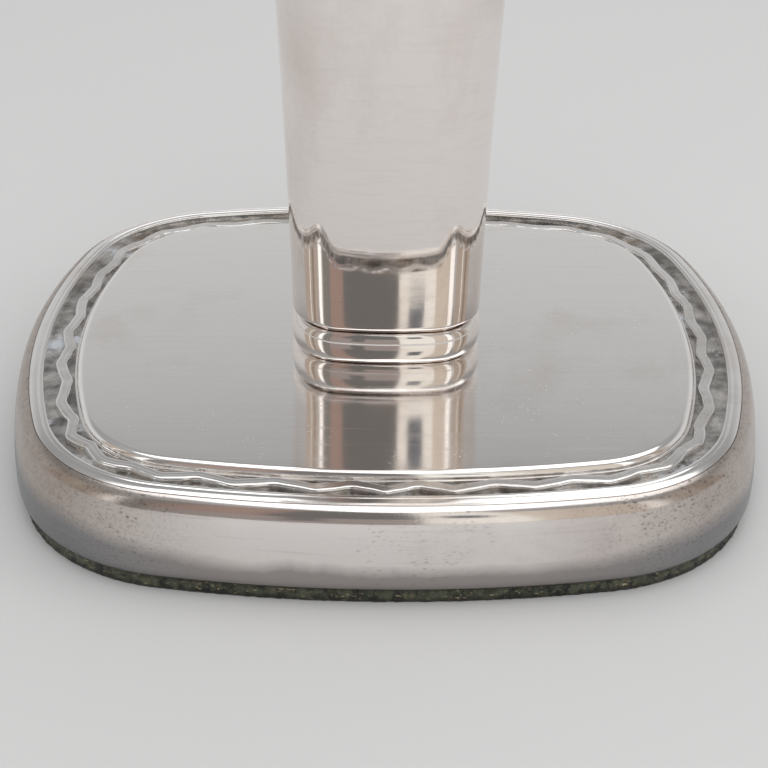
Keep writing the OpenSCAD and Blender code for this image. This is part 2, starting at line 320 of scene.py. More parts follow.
class Nodes:
    """A short way to write a node tree. Noise and cell scales count features per metre."""

    def __init__(self, name):
        self.material = bpy.data.materials.new(name)
        self.material.use_nodes = True
        self.tree = self.material.node_tree
        self.shader = self.tree.nodes["Principled BSDF"]
        self.object_coords = self.add("ShaderNodeTexCoord").outputs["Object"]

    def add(self, kind, **settings):
        node = self.tree.nodes.new(kind)
        for key, value in settings.items():
            setattr(node, key, value)
        return node

    def link(self, output, target):
        self.tree.links.new(output, target)

    def feed(self, socket, value):
        """Links an output to the socket, or sets the socket to a constant."""
        if hasattr(value, "is_output"):
            self.link(value, socket)
        else:
            socket.default_value = value

    def position(self):
        """The X, Y and Z outputs of a point's place."""
        split = self.add("ShaderNodeSeparateXYZ")
        self.link(self.object_coords, split.inputs[0])
        return split.outputs

    def stretched(self, scale, turn=(0, 0, 0)):
        mapping = self.add("ShaderNodeMapping")
        mapping.inputs["Scale"].default_value = scale
        mapping.inputs["Rotation"].default_value = turn
        self.link(self.object_coords, mapping.inputs["Vector"])
        return mapping.outputs["Vector"]

    def noise(self, scale, detail=3.0, roughness=0.55, coords=None, distortion=0.0):
        node = self.add("ShaderNodeTexNoise")
        self.link(coords or self.object_coords, node.inputs["Vector"])
        node.inputs["Scale"].default_value = scale
        node.inputs["Detail"].default_value = detail
        node.inputs["Roughness"].default_value = roughness
        node.inputs["Distortion"].default_value = distortion
        return node.outputs["Fac"]

    def cells(self, scale, coords=None):
        node = self.add("ShaderNodeTexVoronoi")
        self.link(coords or self.object_coords, node.inputs["Vector"])
        node.inputs["Scale"].default_value = scale
        return node.outputs["Distance"]

    def ranged(self, value, low, high, to_low=0.0, to_high=1.0):
        """The value carried from the range low to high into the range to_low to to_high, clamped."""
        node = self.add("ShaderNodeMapRange")
        self.link(value, node.inputs["Value"])
        node.inputs["From Min"].default_value = low
        node.inputs["From Max"].default_value = high
        node.inputs["To Min"].default_value = to_low
        node.inputs["To Max"].default_value = to_high
        return node.outputs["Result"]

    def maths(self, operation, a, b=None):
        node = self.add("ShaderNodeMath", operation=operation)
        self.feed(node.inputs[0], a)
        if b is not None:
            self.feed(node.inputs[1], b)
        return node.outputs["Value"]

    def plus(self, a, b, share=None):
        """a + b, or a + b * share."""
        return self.maths("ADD", a, b if share is None else self.times(b, share))

    def times(self, a, b):
        return self.maths("MULTIPLY", a, b)

    def mixed(self, factor, a, b):
        """Colour a where the factor is 0, colour b where it is 1."""
        node = self.add("ShaderNodeMix", data_type="RGBA")
        self.link(factor, node.inputs["Factor"])
        for name, value in (("A_Color", a), ("B_Color", b)):
            socket = next(s for s in node.inputs if s.identifier == name)
            self.feed(socket, value if hasattr(value, "is_output") else (*value, 1.0))
        return next(s for s in node.outputs if s.identifier == "Result_Color")

    def bump(self, height, distance, strength=1.0, after=None):
        node = self.add("ShaderNodeBump")
        node.inputs["Distance"].default_value = distance
        node.inputs["Strength"].default_value = strength
        self.link(height, node.inputs["Height"])
        if after:
            self.link(after, node.inputs["Normal"])
        return node.outputs["Normal"]

    def finished(self, colour, roughness, normal):
        """Joins the three outputs to the shader and hands the material back."""
        self.link(colour, self.shader.inputs["Base Color"])
        self.link(roughness, self.shader.inputs["Roughness"])
        self.link(normal, self.shader.inputs["Normal"])
        return self.material


# ---------------------------------------------------------------- silver, felt, steel and pitch


MICRON = 0.001 * MM
SCRATCH_H = 0.5 * MICRON
PIT_DEPTH = 12 * MICRON


def shaded(colour, share):
    return tuple(c * share for c in colour)


def dusty(n, roughness):
    """The roughness with motes of dust, level hairlines and smears added to it."""
    motes = n.ranged(n.cells(1300.0), 0.06, 0.15, 1.0, 0.0)
    motes = n.times(motes, n.ranged(n.noise(160.0, 3.0, 0.7), 0.5, 0.6))
    hairlines = n.ranged(n.noise(1.0, 2.0, 0.6, n.stretched((26, 3600, 60))), 0.6, 0.72, 0.0, 0.14)
    smears = n.ranged(n.noise(60.0, 4.0, 0.65), 0.45, 0.75, 0.0, 0.05)
    for part in (n.times(motes, 0.5), hairlines, smears):
        roughness = n.plus(roughness, part)
    return roughness


def silver(name, tint, tarnish, cover, rough, brush, brush_height=0.4 * MICRON,
           pits=0.0, wobble=9.6 * MICRON, dust=False):
    """Polished silver with cloudy tarnish, fine brushing, stray scratches and a slight wobble.

    A higher cover leaves fewer stains, and brush gives the streaks per metre along X, Y and Z.
    """
    n = Nodes(name)
    clouds = n.noise(1.0, 4.0, 0.55, n.stretched((62, 62, 30)), 0.15)
    stain = n.ranged(n.plus(clouds, n.noise(900.0, 4.0, 0.7), 0.22), cover, cover + 0.24, 0.0, 0.8)
    streaks = n.noise(1.0, 2.0, 0.5, n.stretched(brush))
    colour = n.mixed(stain, tint, tarnish)
    colour = n.mixed(n.ranged(streaks, 0.5, 0.75, 0.0, 0.35), colour, shaded(tint, 0.86))
    slant = n.noise(1.0, 1.0, 0.5, n.stretched((70, 1900, 1900), (0.35, 0.5, 0.62)))
    normal = n.bump(streaks, brush_height)
    normal = n.bump(n.ranged(slant, 0.68, 0.74), SCRATCH_H, after=normal)
    normal = n.bump(n.noise(85.0, 1.0, 0.4), wobble, after=normal)
    if pits:
        spots = n.ranged(n.cells(900.0), 0.0, 0.16, 1.0, 0.0)
        where = n.ranged(n.noise(38.0, 3.0, 0.6), 0.62 - pits * 0.3, 0.72)
        dark = n.times(spots, where)
        colour = n.mixed(dark, colour, shaded(tint, 0.25))
        normal = n.bump(dark, -PIT_DEPTH, after=normal)
    roughness = n.plus(n.ranged(streaks, 0.3, 0.7, rough * 0.75, rough * 1.25),
                       n.ranged(stain, 0.0, 1.0, 0.0, rough * 0.9))
    if dust:
        roughness = dusty(n, roughness)
    n.shader.inputs["Metallic"].default_value = 1.0
    return n.finished(colour, roughness, normal)


def worn_wall_silver(name):
    """The base's side wall: level and upright scratches, pits, browned corners that also carry painted
    reflected shade, most on the left, and a foot painted dark blue-grey as the reflection of the floor's
    contact shadow.
    """
    n = Nodes(name)
    across, _, height = n.position()
    clouds = n.noise(48.0, 5.0, 0.6, distortion=0.7)
    fine = n.noise(420.0, 4.0, 0.65)
    level = n.noise(1.0, 3.0, 0.55, n.stretched((60, 60, 2400)))
    upright = n.noise(1.0, 3.0, 0.6, n.stretched((1500, 1500, 130)))
    drift = n.maths("SUBTRACT", clouds, 0.5)

    # the end mask made here is about 1 at the left and right ends of the base (0.85 at the right) and 0
    # in the middle of its front: partly real browning and wear, partly painted shade reflected from the
    # darker sides of the room
    ends = n.ranged(n.plus(n.maths("ABSOLUTE", across), drift, 0.008), 0.020, 0.045)
    left = n.ranged(across, -0.012, -0.046)
    ends_wear_and_shade = n.times(ends, n.ranged(left, 0.0, 1.0, 0.85, 1.0))
    # foot mask: the lower wall is painted darker as the reflection of the floor's contact shadow in front
    # of the base; it also adds roughness
    foot_shade_top = n.maths("ADD", n.times(ends_wear_and_shade, 0.0026), 0.0068)
    foot = n.ranged(n.maths("DIVIDE", n.plus(height, drift, 0.004), foot_shade_top), 1.02, 0.72)

    stain = n.ranged(n.plus(clouds, fine, 0.2), 0.62, 0.86, 0.0, 0.5)
    colour = n.mixed(stain, (0.83, 0.785, 0.76), (0.62, 0.54, 0.525))
    # painted reflected shade on top of real browning: darker brown towards both ends, most on the left
    colour = n.mixed(n.times(ends_wear_and_shade, n.ranged(fine, 0.2, 0.8, 0.78, 1.0)), colour, (0.43, 0.37, 0.33))
    # painted shade at the foot: darker blue-grey, darkest towards the ends
    colour = n.mixed(foot, colour, n.mixed(ends_wear_and_shade, (0.38, 0.35, 0.335), (0.27, 0.275, 0.285)))

    specks = n.ranged(n.cells(1500.0, n.stretched((0.55, 0.55, 1.4))), 0.1, 0.34, 1.0, 0.0)
    where = n.ranged(n.plus(n.noise(33.0, 3.0, 0.6), ends_wear_and_shade, 0.12), 0.5, 0.66)
    pits = n.times(specks, n.times(where, n.ranged(fine, 0.4, 0.62)))
    grit = n.times(n.ranged(n.noise(2300.0, 2.0, 0.6), 0.54, 0.68), n.ranged(ends_wear_and_shade, 0.1, 0.8, 0.05, 0.5))
    colour = n.mixed(n.times(pits, 0.8), colour, (0.14, 0.125, 0.115))
    colour = n.mixed(grit, colour, (0.2, 0.175, 0.16))
    colour = n.mixed(n.ranged(level, 0.56, 0.7, 0.0, 0.22), colour, (0.42, 0.38, 0.36))

    roughness = n.plus(n.ranged(ends_wear_and_shade, 0.0, 1.0, 0.11, 0.27), n.ranged(foot, 0.0, 1.0, 0.0, 0.08))
    normal = n.bump(level, 1.1 * MICRON)
    normal = n.bump(upright, 1.4 * MICRON, after=normal)
    normal = n.bump(pits, -14 * MICRON, after=normal)
    normal = n.bump(n.noise(85.0, 1.0, 0.4), 14 * MICRON, after=normal)
    n.shader.inputs["Metallic"].default_value = 1.0
    return n.finished(colour, roughness, normal)


def oxidised_silver(name):
    """Darkened hammered floor of the border, with pale polish left in its hollows."""
    n = Nodes(name)
    grain = n.noise(1500.0, 4.0, 0.65)
    hammered = n.noise(420.0, 2.0, 0.5)
    shade = n.ranged(n.plus(hammered, n.noise(120.0, 4.0, 0.6), 0.8), 0.72, 1.12)
    silver_colour = n.mixed(shade, (0.24, 0.23, 0.22), (0.66, 0.64, 0.62))
    more_on_the_right = n.ranged(n.position()[0], 0.02, 0.05, 0.0, 0.06)
    cloudy = n.plus(n.noise(110.0, 3.0, 0.6), grain, 0.25)
    polish = n.ranged(n.plus(cloudy, more_on_the_right), 0.74, 0.82)
    roughness = n.plus(n.ranged(grain, 0.3, 0.7, 0.14, 0.3), n.ranged(polish, 0, 1, 0.0, 0.4))
    grit = n.times(grain, n.ranged(polish, 0, 1, 0.25, 1.0))
    normal = n.bump(grit, 18 * MICRON, after=n.bump(hammered, 40 * MICRON))
    n.link(n.ranged(polish, 0, 1, 1.0, 0.15), n.shader.inputs["Metallic"])
    return n.finished(n.mixed(polish, silver_colour, (0.62, 0.65, 0.70)), roughness, normal)


def felt(name):
    """Dense dark green wool felt with brown and tan fibres in it, painted near-black near the table as
    shade under its edge.
    """
    n = Nodes(name)
    wool = n.noise(2600.0, 5.0, 0.7)
    tufts = n.noise(650.0, 4.0, 0.65)
    fibres = n.noise(1.0, 2.0, 0.6, n.stretched((900, 900, 3200), (0.4, 0.2, 0.9)))
    colour = n.mixed(n.ranged(tufts, 0.4, 0.6), (0.006, 0.010, 0.006), (0.075, 0.085, 0.052))
    colour = n.mixed(n.ranged(n.noise(1500.0, 3.0, 0.7), 0.56, 0.66), colour, (0.15, 0.115, 0.065))
    colour = n.mixed(n.ranged(fibres, 0.62, 0.72), colour, (0.42, 0.35, 0.21))
    # painted shade along the bottom of the felt's edge: near-black within the lowest 0.35 to 0.8 mm
    unshaded = n.ranged(n.plus(n.position()[2], tufts, 0.3 * MM), 0.35 * MM, 0.8 * MM)
    colour = n.mixed(unshaded, (0.008, 0.008, 0.006), colour)
    n.shader.inputs["Sheen Weight"].default_value = 0.25
    n.shader.inputs["Sheen Roughness"].default_value = 0.6
    normal = n.bump(wool, 180 * MICRON, after=n.bump(tufts, 300 * MICRON))
    return n.finished(colour, n.ranged(wool, 0.2, 0.8, 0.85, 1.0), normal)


def dull_metal(name, colour, rough, grain=900.0):
    """Unpolished metal with darker blotches and a fine grain."""
    n = Nodes(name)
    blotches = n.ranged(n.noise(110.0, 4.0, 0.6), 0.35, 0.7)
    fine = n.noise(grain, 3.0, 0.6)
    n.shader.inputs["Metallic"].default_value = 1.0
    return n.finished(n.mixed(blotches, shaded(colour, 0.55), colour),
                      n.ranged(fine, 0.3, 0.7, rough * 0.8, rough * 1.25), n.bump(fine, 15 * MICRON))


def pitch(name):
    """Black-brown lumpy filling."""
    n = Nodes(name)
    lumps = n.noise(160.0, 5.0, 0.6)
    grit = n.noise(1400.0, 3.0, 0.7)
    colour = n.mixed(n.ranged(lumps, 0.3, 0.7), (0.022, 0.017, 0.013), (0.075, 0.055, 0.04))
    normal = n.bump(grit, 40 * MICRON, after=n.bump(lumps, 250 * MICRON))
    return n.finished(colour, n.ranged(grit, 0.3, 0.7, 0.45, 0.8), normal)


# ---------------------------------------------------------------- finishes

WARM = (0.875, 0.825, 0.795)
GREY = (0.86, 0.85, 0.84)
BROWNED = (0.70, 0.64, 0.585)

wall_silver = worn_wall_silver("wall_silver")
rim_silver = silver("rim_silver", GREY, BROWNED, 0.66, 0.12, (220, 220, 900), wobble=8 * MICRON)
ribbon_silver = silver("ribbon_silver", GREY, (0.6, 0.57, 0.54), 0.60, 0.16, (400, 400, 900),
                       wobble=20 * MICRON)
plateau_silver = silver("plateau_silver", (0.97, 0.95, 0.935), (0.84, 0.80, 0.77), 0.68, 0.07,
                        (45, 3200, 60), brush_height=0.7 * MICRON, wobble=4 * MICRON, dust=True)
collar_silver = silver("collar_silver", WARM, BROWNED, 0.66, 0.06, (150, 150, 1500), wobble=16 * MICRON)
stem_silver = silver("stem_silver", WARM, (0.74, 0.655, 0.61), 0.57, 0.045, (200, 200, 2200),
                     brush_height=0.25 * MICRON, pits=0.25, wobble=8 * MICRON)
nozzle_silver = silver("nozzle_silver", WARM, BROWNED, 0.64, 0.10, (200, 200, 1600), pits=0.15)
inner_silver = dull_metal("inner_silver", (0.66, 0.645, 0.62), 0.32)
border_silver = oxidised_silver("border_silver")
green_felt = felt("green_felt")
tinplate = dull_metal("tinplate", (0.5, 0.5, 0.49), 0.4)
core_steel = dull_metal("core_steel", (0.42, 0.42, 0.43), 0.42, 1600.0)
filling_pitch = pitch("filling_pitch")

# ---------------------------------------------------------------- base

WALL_BULGE = half_sizes("base_wall")[0] - BASE.half_w
WALL_WIDE_H = 4.0 * MM
SHOULDER_R = 2.9 * MM
SHOULDER_END = 70.0
ROLL_R = 2.6 * MM
SHOULDER_OUT = -SHOULDER_R * math.cos(math.radians(SHOULDER_END))
SHOULDER_H = SEAM_H - SHOULDER_R * math.sin(math.radians(SHOULDER_END))
FROM_WIDE = Vector((SHOULDER_OUT - WALL_BULGE, SHOULDER_H - WALL_WIDE_H))
WALL_ARC_R = (SHOULDER_R**2 - FROM_WIDE.length_squared) / (2 * (FROM_WIDE.x + SHOULDER_R))
WALL_CENTRE = WALL_BULGE - WALL_ARC_R
WALL_JOIN = math.degrees(math.atan2(FROM_WIDE.y, SHOULDER_OUT - WALL_CENTRE))
ROLL_CENTRE = WALL_BULGE - ROLL_R
ROLL_START = math.degrees(math.asin((FELT_TOP - WALL_WIDE_H) / ROLL_R))
HEM_IN = 1.2 * MM
HEM_H = 0.8 * MM
WALL_BOTTOM_OUT = ROLL_CENTRE + ROLL_R * math.cos(math.radians(ROLL_START))
RIM_INNER = -2.2 * MM
PLATEAU_EDGE = -7.1 * MM
PLATEAU_EDGE_R = 1.05 * MM
PLATEAU_T = 1.0 * MM
SKIRT_T = 1.05 * MM
LEDGE = 0.3 * MM
CHANNEL_INNER = PLATEAU_EDGE - 1.9 * MM


def make_base_wall():
    """The rolled side strip: foot, bulged side and shoulder outside, then back down inside to the hem."""
    roll = arc(ROLL_CENTRE, WALL_WIDE_H, ROLL_R, ROLL_START, 0, 7)
    side = arc(WALL_CENTRE, WALL_WIDE_H, WALL_ARC_R, 0, WALL_JOIN, 14)[1:]
    shoulder = arc(SHOULDER_OUT, SHOULDER_H, SHOULDER_R, WALL_JOIN, SHOULDER_END - 3, 12)[1:]
    seam = [(0.03 * MM, SEAM_H - 0.12 * MM)]
    inner_shoulder = arc(SHOULDER_OUT, SHOULDER_H, SHOULDER_R - SHEET, SHOULDER_END - 10, WALL_JOIN, 5)
    inner = arc(WALL_CENTRE, WALL_WIDE_H, WALL_ARC_R - SHEET, WALL_JOIN, 0, 6)[1:]
    hem_end = WALL_BOTTOM_OUT - HEM_IN
    hem = [(inner[-1][0], FELT_TOP + HEM_H), (hem_end, FELT_TOP + HEM_H), (hem_end, FELT_TOP)]
    piece = swept("base_wall_skin", BASE, BASE_STEPS,
                  roll + side + shoulder + seam + inner_shoulder + inner + hem)
    group_where(piece, "outside", lambda co: co.z > FELT_TOP + 1.5 * MM)
    dents(piece, 16 * MM, 0.05 * MM, "outside")
    place(piece, "stand", "wall_silver", wall_silver, "base_wall")


def make_base_rim():
    """The crowned rim on the wall, with a fine groove along its top."""
    crown = RIM_TOP - SEAM_H
    # (millimetres inwards, share of the crown)
    slope = [(0.3, 0.36), (0.6, 0.68), (0.9, 0.88), (1.2, 0.97)]
    groove = [(1.3, 0.7), (1.38, 0.7), (1.48, 1.0)]
    profile = [(-0.02 * MM, CHANNEL_TOP), (-0.02 * MM, SEAM_H - 0.1 * MM)]
    profile.append((-0.06 * MM, SEAM_H - 0.01 * MM))
    profile += [(-off * MM, SEAM_H + crown * share) for off, share in slope + groove]
    profile += [
        (RIM_INNER + 0.25 * MM, RIM_TOP),
        (RIM_INNER + 0.1 * MM, RIM_TOP - 0.06 * MM),
        (RIM_INNER + 0.02 * MM, RIM_TOP - 0.2 * MM),
        (RIM_INNER, SEAM_H - 0.2 * MM),
        (RIM_INNER, CHANNEL_TOP),
    ]
    piece = swept("base_rim_wire", BASE, BASE_STEPS, profile)
    dents(piece, 9 * MM, 0.03 * MM)
    place(piece, "stand", "rim_silver", rim_silver, "base_rim")


def make_border_channel():
    """The hammered floor of the border, in narrow rings so that it can be dented finely."""
    rings = 34
    floor = [(CHANNEL_INNER * k / rings, CHANNEL_TOP) for k in range(rings + 1)]
    profile = floor + [(CHANNEL_INNER, CHANNEL_BOTTOM), (0.0, CHANNEL_BOTTOM)]
    piece = swept("border_channel_floor", BASE, CHANNEL_STEPS, profile)
    group_where(piece, "floor", lambda co: co.z > CHANNEL_TOP - 0.1 * MM)
    dents(piece, 2.6 * MM, 0.12 * MM, "floor", 1)
    place(piece, "stand", "oxidised_silver", border_silver, "border_channel")


def around_base(x, y):
    """How far round the base a point is, as a share from the middle of the front, and its way out."""
    (front, front_angle), (corner, corner_angle), (side, side_angle) = arc_plan(BASE)
    px, py = abs(x), -abs(y)
    from_corner = Vector((px, py)) - corner
    turn = math.atan2(from_corner.x, -from_corner.y)
    front_length = BASE.front_r * front_angle
    corner_length = BASE.corner_r * corner_angle
    if turn < front_angle or from_corner.length < MM:
        out = Vector((px, py)) - front
        run = BASE.front_r * math.atan2(out.x, -out.y)
    elif turn < front_angle + corner_angle:
        out = from_corner
        run = front_length + BASE.corner_r * (turn - front_angle)
    else:
        out = Vector((px, py)) - side
        run = front_length + corner_length + BASE.side_r * (side_angle - math.atan2(-out.y, out.x))
    out.normalize()
    quarter = front_length + corner_length + BASE.side_r * side_angle
    if y > 0:
        run = 2 * quarter - run
    if x < 0:
        run = 4 * quarter - run
    return run / (4 * quarter), Vector((math.copysign(out.x, x), math.copysign(out.y, y), 0))


WAVES = 32
WAVE = 0.45 * MM
RIBBON_IN = -5.1 * MM
RIBBON_HALF = 0.9 * MM
RIBBON_H = 0.85 * MM
RIBBON_HOLLOW = 0.03 * MM


def wave_at(turn):
    """How far the ribbon swings outwards at a share of the way round, a little unevenly as by hand."""
    a = math.tau * turn
    late = 0.3 * math.sin(3 * a) + 0.25 * math.sin(7 * a) + 0.2 * math.sin(13 * a)
    swing = 0.82 + 0.33 * math.cos(a + 0.35) + 0.13 * math.sin(5 * a + 1.1) + 0.1 * math.sin(11 * a + 0.4)
    wave = WAVES * a + late
    return WAVE * swing * (math.cos(wave) + 0.12 * math.cos(3 * wave + 0.6))


def make_wave_ribbon():
    """A ribbon with a hollow top, swept round the border and then bent into waves."""
    top = CHANNEL_TOP + RIBBON_H
    # (millimetres in from the ribbon's own edge, millimetres below its top)
    outer_edge = [(0, 0.42), (0.05, 0.26), (0.16, 0.12), (0.32, 0.03), (0.5, 0)]
    inner_edge = [(0.2, 0), (0.08, 0.04), (0, 0.16)]
    profile = [(RIBBON_HALF, CHANNEL_TOP)]
    profile += [(RIBBON_HALF - off * MM, top - down * MM) for off, down in outer_edge]
    profile += [(0, top - RIBBON_HOLLOW), (-RIBBON_HALF + 0.45 * MM, top - RIBBON_HOLLOW)]
    profile += [(-RIBBON_HALF + off * MM, top - down * MM) for off, down in inner_edge]
    profile.append((-RIBBON_HALF, CHANNEL_TOP))
    profile = [(RIBBON_IN + off, height) for off, height in profile]
    piece = swept("wave_ribbon_strip", BASE, RIBBON_STEPS, profile)
    for vertex in piece.data.vertices:
        turn, out = around_base(vertex.co.x, vertex.co.y)
        vertex.co += out * wave_at(turn)
    dents(piece, 3.5 * MM, 0.06 * MM)
    place(piece, "stand", "ribbon_silver", ribbon_silver, "wave_ribbon")


def make_plateau():
    """The polished plate: a rounded edge, a small ledge under it and a skirt down to the channel."""
    under = PLATEAU_H - PLATEAU_T
    skirt_in = PLATEAU_EDGE - SKIRT_T
    ledge = PLATEAU_EDGE + LEDGE
    edge_foot = PLATEAU_H - PLATEAU_EDGE_R
    edge_in = PLATEAU_EDGE - PLATEAU_EDGE_R
    profile = [
        (skirt_in, under), (skirt_in, CHANNEL_TOP), (ledge, CHANNEL_TOP), (ledge, edge_foot - 0.14 * MM),
        (ledge - 0.04 * MM, edge_foot - 0.08 * MM), (ledge - 0.12 * MM, edge_foot - 0.06 * MM),
        (PLATEAU_EDGE + 0.03 * MM, edge_foot - 0.08 * MM),
    ]
    profile += arc(edge_in, edge_foot, PLATEAU_EDGE_R, 0, 86, 14)
    profile += [(edge_in - 0.25 * MM, PLATEAU_H - 0.004 * MM), (edge_in - 0.7 * MM, PLATEAU_H)]
    piece = swept("plateau_plate_top", BASE, BASE_STEPS, profile, closed=False)
    cap(piece, PLATEAU_H, rings=(0.96, 0.9, 0.8, 0.65, 0.5, 0.35, 0.2, 0.08))
    cap(piece, under)
    group_where(piece, "top", lambda co: co.z > PLATEAU_H - 0.5 * MM)
    dents(piece, 26 * MM, 0.03 * MM, "top", 1)
    place(piece, "stand", "plateau_silver", plateau_silver, "plateau_plate")


# ---------------------------------------------------------------- felt

FELT = grown(BASE, half_sizes("felt_pad")[0] - BASE.half_w)
FIBRES = 900
FIBRE_JOINTS = 5
FIBRE_SIDES = 3


def make_felt():
    """The pad, pressed wider at the table than under the wall, with a torn edge."""
    profile = [
        (-1.2 * MM, 0.0), (0.2 * MM, 0.0), (0.36 * MM, 0.1 * MM), (0.34 * MM, 0.28 * MM),
        (0.1 * MM, 0.48 * MM), (-0.02 * MM, 0.8 * MM), (-0.08 * MM, 1.1 * MM),
        (-0.16 * MM, FELT_TOP - 0.25 * MM), (-0.35 * MM, FELT_TOP - 0.05 * MM),
        (-0.7 * MM, FELT_TOP), (-1.6 * MM, FELT_TOP),
    ]
    piece = swept("felt_pad_wool", FELT, FELT_STEPS, profile, closed=False)
    cap(piece, 0.0)
    cap(piece, FELT_TOP)
    group_where(piece, "edge", lambda co: 0.05 * MM < co.z < FELT_TOP - 0.02 * MM)
    dents(piece, 0.9 * MM, 0.35 * MM, "edge", 4)
    place(piece, "stand", "felt", green_felt, "felt_pad")


def spot_on_edge(rng):
    """A random point on the felt's outline, at table height, and the way out from it."""
    (front, front_angle), (corner, corner_angle), (side, side_angle) = arc_plan(FELT)
    arcs = (
        (front, FELT.front_r, -math.pi / 2, front_angle),
        (corner, FELT.corner_r, -math.pi / 2 + front_angle, corner_angle),
        (side, FELT.side_r, -side_angle, side_angle),
    )
    lengths = [r * angle for _, r, _, angle in arcs]
    run = rng.random() * sum(lengths)
    chosen = 0
    while run > lengths[chosen]:
        run -= lengths[chosen]
        chosen += 1
    centre, r, first, angle = arcs[chosen]
    t = first + angle * run / lengths[chosen]
    flip_x, flip_y = rng.choice((-1, 1)), rng.choice((-1, 1))
    out = Vector((math.cos(t) * flip_x, math.sin(t) * flip_y, 0))
    return Vector(((centre.x + r * math.cos(t)) * flip_x, (centre.y + r * math.sin(t)) * flip_y, 0)), out


def add_fibre(rng, point, heading, length, width, vertices, faces):
    """One bent three-sided hair that thins towards its tip."""
    start = len(vertices)
    segments = FIBRE_JOINTS - 1
    for k in range(FIBRE_JOINTS):
        spread = width * (1 - 0.8 * k / segments)
        across = heading.cross(Vector((0, 0, 1))).normalized()
        up = across.cross(heading)
        for corner in range(FIBRE_SIDES):
            a = math.tau * corner / FIBRE_SIDES
            spot = point + (across * math.cos(a) + up * math.sin(a)) * spread
            spot.z = max(spot.z, 0.03 * MM)
            vertices.append(spot)
        point = point + heading * length / segments
        heading = (heading + Vector([rng.uniform(-0.35, 0.35) for _ in range(3)])).normalized()
    for k in range(segments):
        for corner in range(FIBRE_SIDES):
            a = start + k * FIBRE_SIDES + corner
            b = start + k * FIBRE_SIDES + (corner + 1) % FIBRE_SIDES
            faces.append((a, b, b + FIBRE_SIDES, a + FIBRE_SIDES))
    faces.append((start + 2, start + 1, start))
    last = start + segments * FIBRE_SIDES
    faces.append((last, last + 1, last + 2))


def make_felt_fibres():
    """Loose wool along the cut edge of the felt."""
    rng = random.Random(8)
    vertices, faces = [], []
    for _ in range(FIBRES):
        point, out = spot_on_edge(rng)
        point.z = rng.uniform(0.25, FELT_TOP / MM - 0.15) * MM
        point -= out * 0.12 * MM
        along = out.cross(Vector((0, 0, 1)))
        heading = (out * rng.uniform(0.1, 0.55) + along * rng.uniform(-1, 1)
                   + Vector((0, 0, rng.uniform(-0.35, 0.2)))).normalized()
        length = rng.uniform(0.35, 1.1) * MM
        width = rng.uniform(0.012, 0.024) * MM
        add_fibre(rng, point, heading, length, width, vertices, faces)
    mesh = bpy.data.meshes.new("felt_fibres")
    mesh.from_pydata([tuple(v) for v in vertices], [], faces)
    piece = bpy.data.objects.new("felt_fibres", mesh)
    bpy.context.scene.collection.objects.link(piece)
    place(piece, "stand", "felt", green_felt)


# ---------------------------------------------------------------- stem


# in metres, the half width grows by FLARE times the height plus FLARE_CURVE times its square
FLARE = 0.02
FLARE_CURVE = 0.32
LIP_R = 1.1 * MM
STEM_RINGS = 44
BEAD_BULGE = 1.25 * MM
BEAD_SET_IN = 0.88
BEAD_GROOVE_H = 0.4 * MM
COLLAR_INNER = -4.5 * MM


def stem_growth(height):
    """How many times larger the stem's section is at a height than at its foot."""
    up = height - STEM_FOOT
    return (STEM.half_w + FLARE * up + FLARE_CURVE * up * up) / STEM.half_w


def make_collar():
    """A bulging bead with a narrow groove over it, below the stem's lip."""
    half = (COLLAR_TOP - BEAD_GROOVE_H - PLATEAU_H) / 2
    groove = -BEAD_BULGE - 0.4 * MM
    profile = []
    for angle in range(-90, 91, 10):
        t = math.radians(angle)
        profile.append((BEAD_BULGE * (math.cos(t) - BEAD_SET_IN), PLATEAU_H + half + half * math.sin(t)))
    profile += [
        (groove, COLLAR_TOP - BEAD_GROOVE_H), (groove, COLLAR_TOP), (COLLAR_INNER, COLLAR_TOP),
        (COLLAR_INNER, PLATEAU_H),
    ]
    piece = swept("collar_ring_bead", STEM, STEM_STEPS, profile)
    dents(piece, 7 * MM, 0.05 * MM)
    place(piece, "stand", "collar_silver", collar_silver, "collar_ring")


def stem_rings():
    """(offset, height) of the tube's rings: under the lip, round it, up outside, then down inside."""
    foot = STEM_FOOT + LIP_R
    heights = [foot + (STEM_TOP - foot) * k / STEM_RINGS for k in range(1, STEM_RINGS + 1)]
    rings = [(-LIP_R - SHEET, STEM_FOOT), (-LIP_R, STEM_FOOT)]
    rings += arc(-LIP_R, foot, LIP_R, -90, 0, 8)[1:]
    rings += [(0.0, height) for height in heights]
    rings.append((-SHEET, STEM_TOP))
    rings += [(-SHEET, height) for height in heights[-2::-4]]
    return rings


def make_stem():
    """The flared tube, extruded ring by ring, each ring scaled to the stem's size at its height."""
    size, height = STEM.half_w - LIP_R - SHEET, STEM_FOOT + SHEET
    piece = start_vertex("stem_tube", (0, -STEM.half_d, height))
    # the vertex is spun into a quarter of the full section, which is then shrunk to the lip's inner edge
    spin_quarter(STEM, STEM_STEPS)
    mirror_quarters(piece)
    bpy.ops.object.mode_set(mode="EDIT")
    bpy.ops.mesh.select_all(action="SELECT")
    shrink = size / STEM.half_w
    bpy.ops.transform.resize(value=(shrink, shrink, 1), center_override=(0, 0, height))
    for off, level in stem_rings():
        target = (STEM.half_w + off) * stem_growth(level)
        bpy.ops.mesh.extrude_region_move(TRANSFORM_OT_translate={"value": (0, 0, level - height)})
        grow = target / size
        bpy.ops.transform.resize(value=(grow, grow, 1), center_override=(0, 0, level))
        size, height = target, level
    bpy.ops.object.mode_set(mode="OBJECT")
    weld(piece)
    dents(piece, 22 * MM, 0.06 * MM, depth=1)
    place(piece, "stand", "stem_silver", stem_silver, "stem_shell")


# ---------------------------------------------------------------- mouth of the stem

